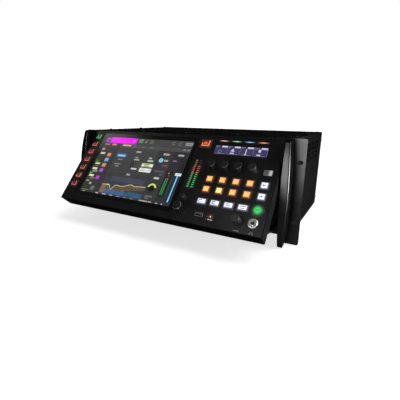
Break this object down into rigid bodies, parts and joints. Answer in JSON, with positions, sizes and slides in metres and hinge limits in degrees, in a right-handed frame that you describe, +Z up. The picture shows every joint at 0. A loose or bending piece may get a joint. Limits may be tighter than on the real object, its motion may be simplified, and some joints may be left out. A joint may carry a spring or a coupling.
{
  "type": "rack-mount mixing control desk",
  "caption": "Black rack-mount control desk with a tilting touchscreen panel, lit keys, rotary encoders, protective rack grips and a vented steel case.",
  "frame": {"origin": "centre of the rack-ear bolt pattern, on the ears' rear mating face", "axes": "+X to the right seen from the front, +Y towards the rear, +Z up; the panel faces -Y"},
  "size_m": [0.4826, 0.4187, 0.1791],
  "materials": {
    "case_paint": "fine-textured satin black",
    "ear_paint": "satin dark grey",
    "screw_steel": "black zinc",
    "foot_rubber": "matte",
    "bright_steel": "brushed",
    "circuit_board": "solder mask",
    "supply_can": "zinc-plated",
    "fan_plastic": "matte",
    "socket_black": "matte moulded",
    "housing_paint": "fine-textured satin black",
    "fascia_black": "satin black",
    "screen_glass": "polished cover glass over a lit display",
    "display_back": "stamped steel",
    "strip_display": "lit",
    "light_pipe": "diffuse light pipes",
    "jack_chrome": "polished nut",
    "usb_steel": "nickel-plated",
    "key_dark": "back-lit red outline",
    "key_green": "back-lit green",
    "key_amber": "back-lit amber",
    "key_white": "back-lit white",
    "key_grey": "translucent grey",
    "knob_black": "soft-touch",
    "knob_metal_top": "gloss black with a bright cap"
  },
  "bodies": {
    "chassis": {"base_plate": "case_paint", "case_screws": "screw_steel", "fan_frame": "fan_plastic", "hinge_pins": "bright_steel", "main_board": "circuit_board", "mains_inlet": "socket_black", "network_ports": "usb_steel", "power_supply": "supply_can", "rack_ear_left": "ear_paint", "rack_ear_right": "ear_paint", "rear_panel": "case_paint", "rubber_feet": "foot_rubber", "side_plate_left": "case_paint", "side_plate_right": "case_paint", "top_cover": "case_paint", "xlr_inputs": "socket_black", "xlr_outputs": "socket_black"},
    "panel": {"panel_housing": "housing_paint", "fascia_plate": "fascia_black", "display_glass": "screen_glass", "display_module": "display_back", "channel_display": "strip_display", "status_leds": "light_pipe", "control_board": "circuit_board", "headphone_jack": "jack_chrome", "usb_socket": "usb_steel", "stay_quadrants": "bright_steel"},
    "side_button_1": {"side_button_1": "key_green"},
    "side_button_2": {"side_button_2": "key_dark"},
    "side_button_3": {"side_button_3": "key_dark"},
    "side_button_4": {"side_button_4": "key_dark"},
    "side_button_5": {"side_button_5": "key_dark"},
    "side_button_6": {"side_button_6": "key_dark"},
    "side_button_7": {"side_button_7": "key_dark"},
    "home_button": {"home_button": "key_dark"},
    "pad_button_1": {"pad_button_1": "key_amber"},
    "pad_button_2": {"pad_button_2": "key_amber"},
    "pad_button_3": {"pad_button_3": "key_amber"},
    "pad_button_4": {"pad_button_4": "key_amber"},
    "pad_button_5": {"pad_button_5": "key_amber"},
    "pad_button_6": {"pad_button_6": "key_amber"},
    "pad_button_7": {"pad_button_7": "key_amber"},
    "pad_button_8": {"pad_button_8": "key_amber"},
    "bank_button_1": {"bank_button_1": "key_white"},
    "bank_button_2": {"bank_button_2": "key_white"},
    "bank_button_3": {"bank_button_3": "key_white"},
    "bank_button_4": {"bank_button_4": "key_white"},
    "menu_button": {"menu_button": "key_grey"},
    "page_up_button": {"page_up_button": "key_white"},
    "page_down_button": {"page_down_button": "key_white"},
    "select_button": {"select_button": "key_green"},
    "encoder_1": {"encoder_1": "knob_black"},
    "encoder_2": {"encoder_2": "knob_black"},
    "encoder_3": {"encoder_3": "knob_black"},
    "encoder_4": {"encoder_4": "knob_black"},
    "monitor_knob": {"monitor_knob": "knob_black"},
    "main_encoder": {"main_encoder": "knob_metal_top"},
    "phones_knob": {"phones_knob": "knob_black"},
    "fan_rotor": {"fan_rotor": "fan_plastic"},
    "power_rocker": {"power_rocker": "socket_black"}
  },
  "joints": [
    {"name": "panel_hinge", "type": "hinge", "parent": "chassis", "child": "panel", "pos_m": [0, -0.00048, 0.07544], "axis": [1, 0, 0], "range_deg": [0, 40]},
    {"name": "power_rocker_tilt", "type": "hinge", "parent": "chassis", "child": "power_rocker", "pos_m": [0.128, 0.294, -0.048], "axis": [1, 0, 0], "range_deg": [0, 14]},
    {"name": "fan_spin", "type": "hinge", "parent": "chassis", "child": "fan_rotor", "pos_m": [0.16, 0.283, 0.04], "axis": [0, 1, 0], "continuous": true},
    {"name": "side_button_1_press", "type": "slide", "parent": "panel", "child": "side_button_1", "axis": [0, 0.766, -0.6428], "range_m": [0, 0.0012], "stiffness_N_per_m": 800, "springref_m": -0.0005},
    {"name": "side_button_2_press", "type": "slide", "parent": "panel", "child": "side_button_2", "axis": [0, 0.766, -0.6428], "range_m": [0, 0.0012], "stiffness_N_per_m": 800, "springref_m": -0.0005},
    {"name": "side_button_3_press", "type": "slide", "parent": "panel", "child": "side_button_3", "axis": [0, 0.766, -0.6428], "range_m": [0, 0.0012], "stiffness_N_per_m": 800, "springref_m": -0.0005},
    {"name": "side_button_4_press", "type": "slide", "parent": "panel", "child": "side_button_4", "axis": [0, 0.766, -0.6428], "range_m": [0, 0.0012], "stiffness_N_per_m": 800, "springref_m": -0.0005},
    {"name": "side_button_5_press", "type": "slide", "parent": "panel", "child": "side_button_5", "axis": [0, 0.766, -0.6428], "range_m": [0, 0.0012], "stiffness_N_per_m": 800, "springref_m": -0.0005},
    {"name": "side_button_6_press", "type": "slide", "parent": "panel", "child": "side_button_6", "axis": [0, 0.766, -0.6428], "range_m": [0, 0.0012], "stiffness_N_per_m": 800, "springref_m": -0.0005},
    {"name": "side_button_7_press", "type": "slide", "parent": "panel", "child": "side_button_7", "axis": [0, 0.766, -0.6428], "range_m": [0, 0.0012], "stiffness_N_per_m": 800, "springref_m": -0.0005},
    {"name": "home_button_press", "type": "slide", "parent": "panel", "child": "home_button", "axis": [0, 0.766, -0.6428], "range_m": [0, 0.0012], "stiffness_N_per_m": 800, "springref_m": -0.0005},
    {"name": "pad_button_1_press", "type": "slide", "parent": "panel", "child": "pad_button_1", "axis": [0, 0.766, -0.6428], "range_m": [0, 0.0012], "stiffness_N_per_m": 800, "springref_m": -0.0005},
    {"name": "pad_button_2_press", "type": "slide", "parent": "panel", "child": "pad_button_2", "axis": [0, 0.766, -0.6428], "range_m": [0, 0.0012], "stiffness_N_per_m": 800, "springref_m": -0.0005},
    {"name": "pad_button_3_press", "type": "slide", "parent": "panel", "child": "pad_button_3", "axis": [0, 0.766, -0.6428], "range_m": [0, 0.0012], "stiffness_N_per_m": 800, "springref_m": -0.0005},
    {"name": "pad_button_4_press", "type": "slide", "parent": "panel", "child": "pad_button_4", "axis": [0, 0.766, -0.6428], "range_m": [0, 0.0012], "stiffness_N_per_m": 800, "springref_m": -0.0005},
    {"name": "pad_button_5_press", "type": "slide", "parent": "panel", "child": "pad_button_5", "axis": [0, 0.766, -0.6428], "range_m": [0, 0.0012], "stiffness_N_per_m": 800, "springref_m": -0.0005},
    {"name": "pad_button_6_press", "type": "slide", "parent": "panel", "child": "pad_button_6", "axis": [0, 0.766, -0.6428], "range_m": [0, 0.0012], "stiffness_N_per_m": 800, "springref_m": -0.0005},
    {"name": "pad_button_7_press", "type": "slide", "parent": "panel", "child": "pad_button_7", "axis": [0, 0.766, -0.6428], "range_m": [0, 0.0012], "stiffness_N_per_m": 800, "springref_m": -0.0005},
    {"name": "pad_button_8_press", "type": "slide", "parent": "panel", "child": "pad_button_8", "axis": [0, 0.766, -0.6428], "range_m": [0, 0.0012], "stiffness_N_per_m": 800, "springref_m": -0.0005},
    {"name": "bank_button_1_press", "type": "slide", "parent": "panel", "child": "bank_button_1", "axis": [0, 0.766, -0.6428], "range_m": [0, 0.0012], "stiffness_N_per_m": 800, "springref_m": -0.0005},
    {"name": "bank_button_2_press", "type": "slide", "parent": "panel", "child": "bank_button_2", "axis": [0, 0.766, -0.6428], "range_m": [0, 0.0012], "stiffness_N_per_m": 800, "springref_m": -0.0005},
    {"name": "bank_button_3_press", "type": "slide", "parent": "panel", "child": "bank_button_3", "axis": [0, 0.766, -0.6428], "range_m": [0, 0.0012], "stiffness_N_per_m": 800, "springref_m": -0.0005},
    {"name": "bank_button_4_press", "type": "slide", "parent": "panel", "child": "bank_button_4", "axis": [0, 0.766, -0.6428], "range_m": [0, 0.0012], "stiffness_N_per_m": 800, "springref_m": -0.0005},
    {"name": "menu_button_press", "type": "slide", "parent": "panel", "child": "menu_button", "axis": [0, 0.766, -0.6428], "range_m": [0, 0.0012], "stiffness_N_per_m": 800, "springref_m": -0.0005},
    {"name": "page_up_button_press", "type": "slide", "parent": "panel", "child": "page_up_button", "axis": [0, 0.766, -0.6428], "range_m": [0, 0.0012], "stiffness_N_per_m": 800, "springref_m": -0.0005},
    {"name": "page_down_button_press", "type": "slide", "parent": "panel", "child": "page_down_button", "axis": [0, 0.766, -0.6428], "range_m": [0, 0.0012], "stiffness_N_per_m": 800, "springref_m": -0.0005},
    {"name": "select_button_press", "type": "slide", "parent": "panel", "child": "select_button", "axis": [0, 0.766, -0.6428], "range_m": [0, 0.0012], "stiffness_N_per_m": 800, "springref_m": -0.0005},
    {"name": "encoder_1_turn", "type": "hinge", "parent": "panel", "child": "encoder_1", "pos_m": [0.102, -0.04587, 0.0369], "axis": [0, -0.766, 0.6428], "continuous": true},
    {"name": "encoder_2_turn", "type": "hinge", "parent": "panel", "child": "encoder_2", "pos_m": [0.12525, -0.04587, 0.0369], "axis": [0, -0.766, 0.6428], "continuous": true},
    {"name": "encoder_3_turn", "type": "hinge", "parent": "panel", "child": "encoder_3", "pos_m": [0.1485, -0.04587, 0.0369], "axis": [0, -0.766, 0.6428], "continuous": true},
    {"name": "encoder_4_turn", "type": "hinge", "parent": "panel", "child": "encoder_4", "pos_m": [0.17175, -0.04587, 0.0369], "axis": [0, -0.766, 0.6428], "continuous": true},
    {"name": "monitor_knob_turn", "type": "hinge", "parent": "panel", "child": "monitor_knob", "pos_m": [0.07, -0.08721, -0.01235], "axis": [0, -0.766, 0.6428], "range_deg": [-150, 150]},
    {"name": "main_encoder_turn", "type": "hinge", "parent": "panel", "child": "main_encoder", "pos_m": [0.07, -0.10006, -0.02767], "axis": [0, -0.766, 0.6428], "continuous": true},
    {"name": "phones_knob_turn", "type": "hinge", "parent": "panel", "child": "phones_knob", "pos_m": [0.171, -0.10231, -0.03035], "axis": [0, -0.766, 0.6428], "range_deg": [-150, 150]}
  ]
}
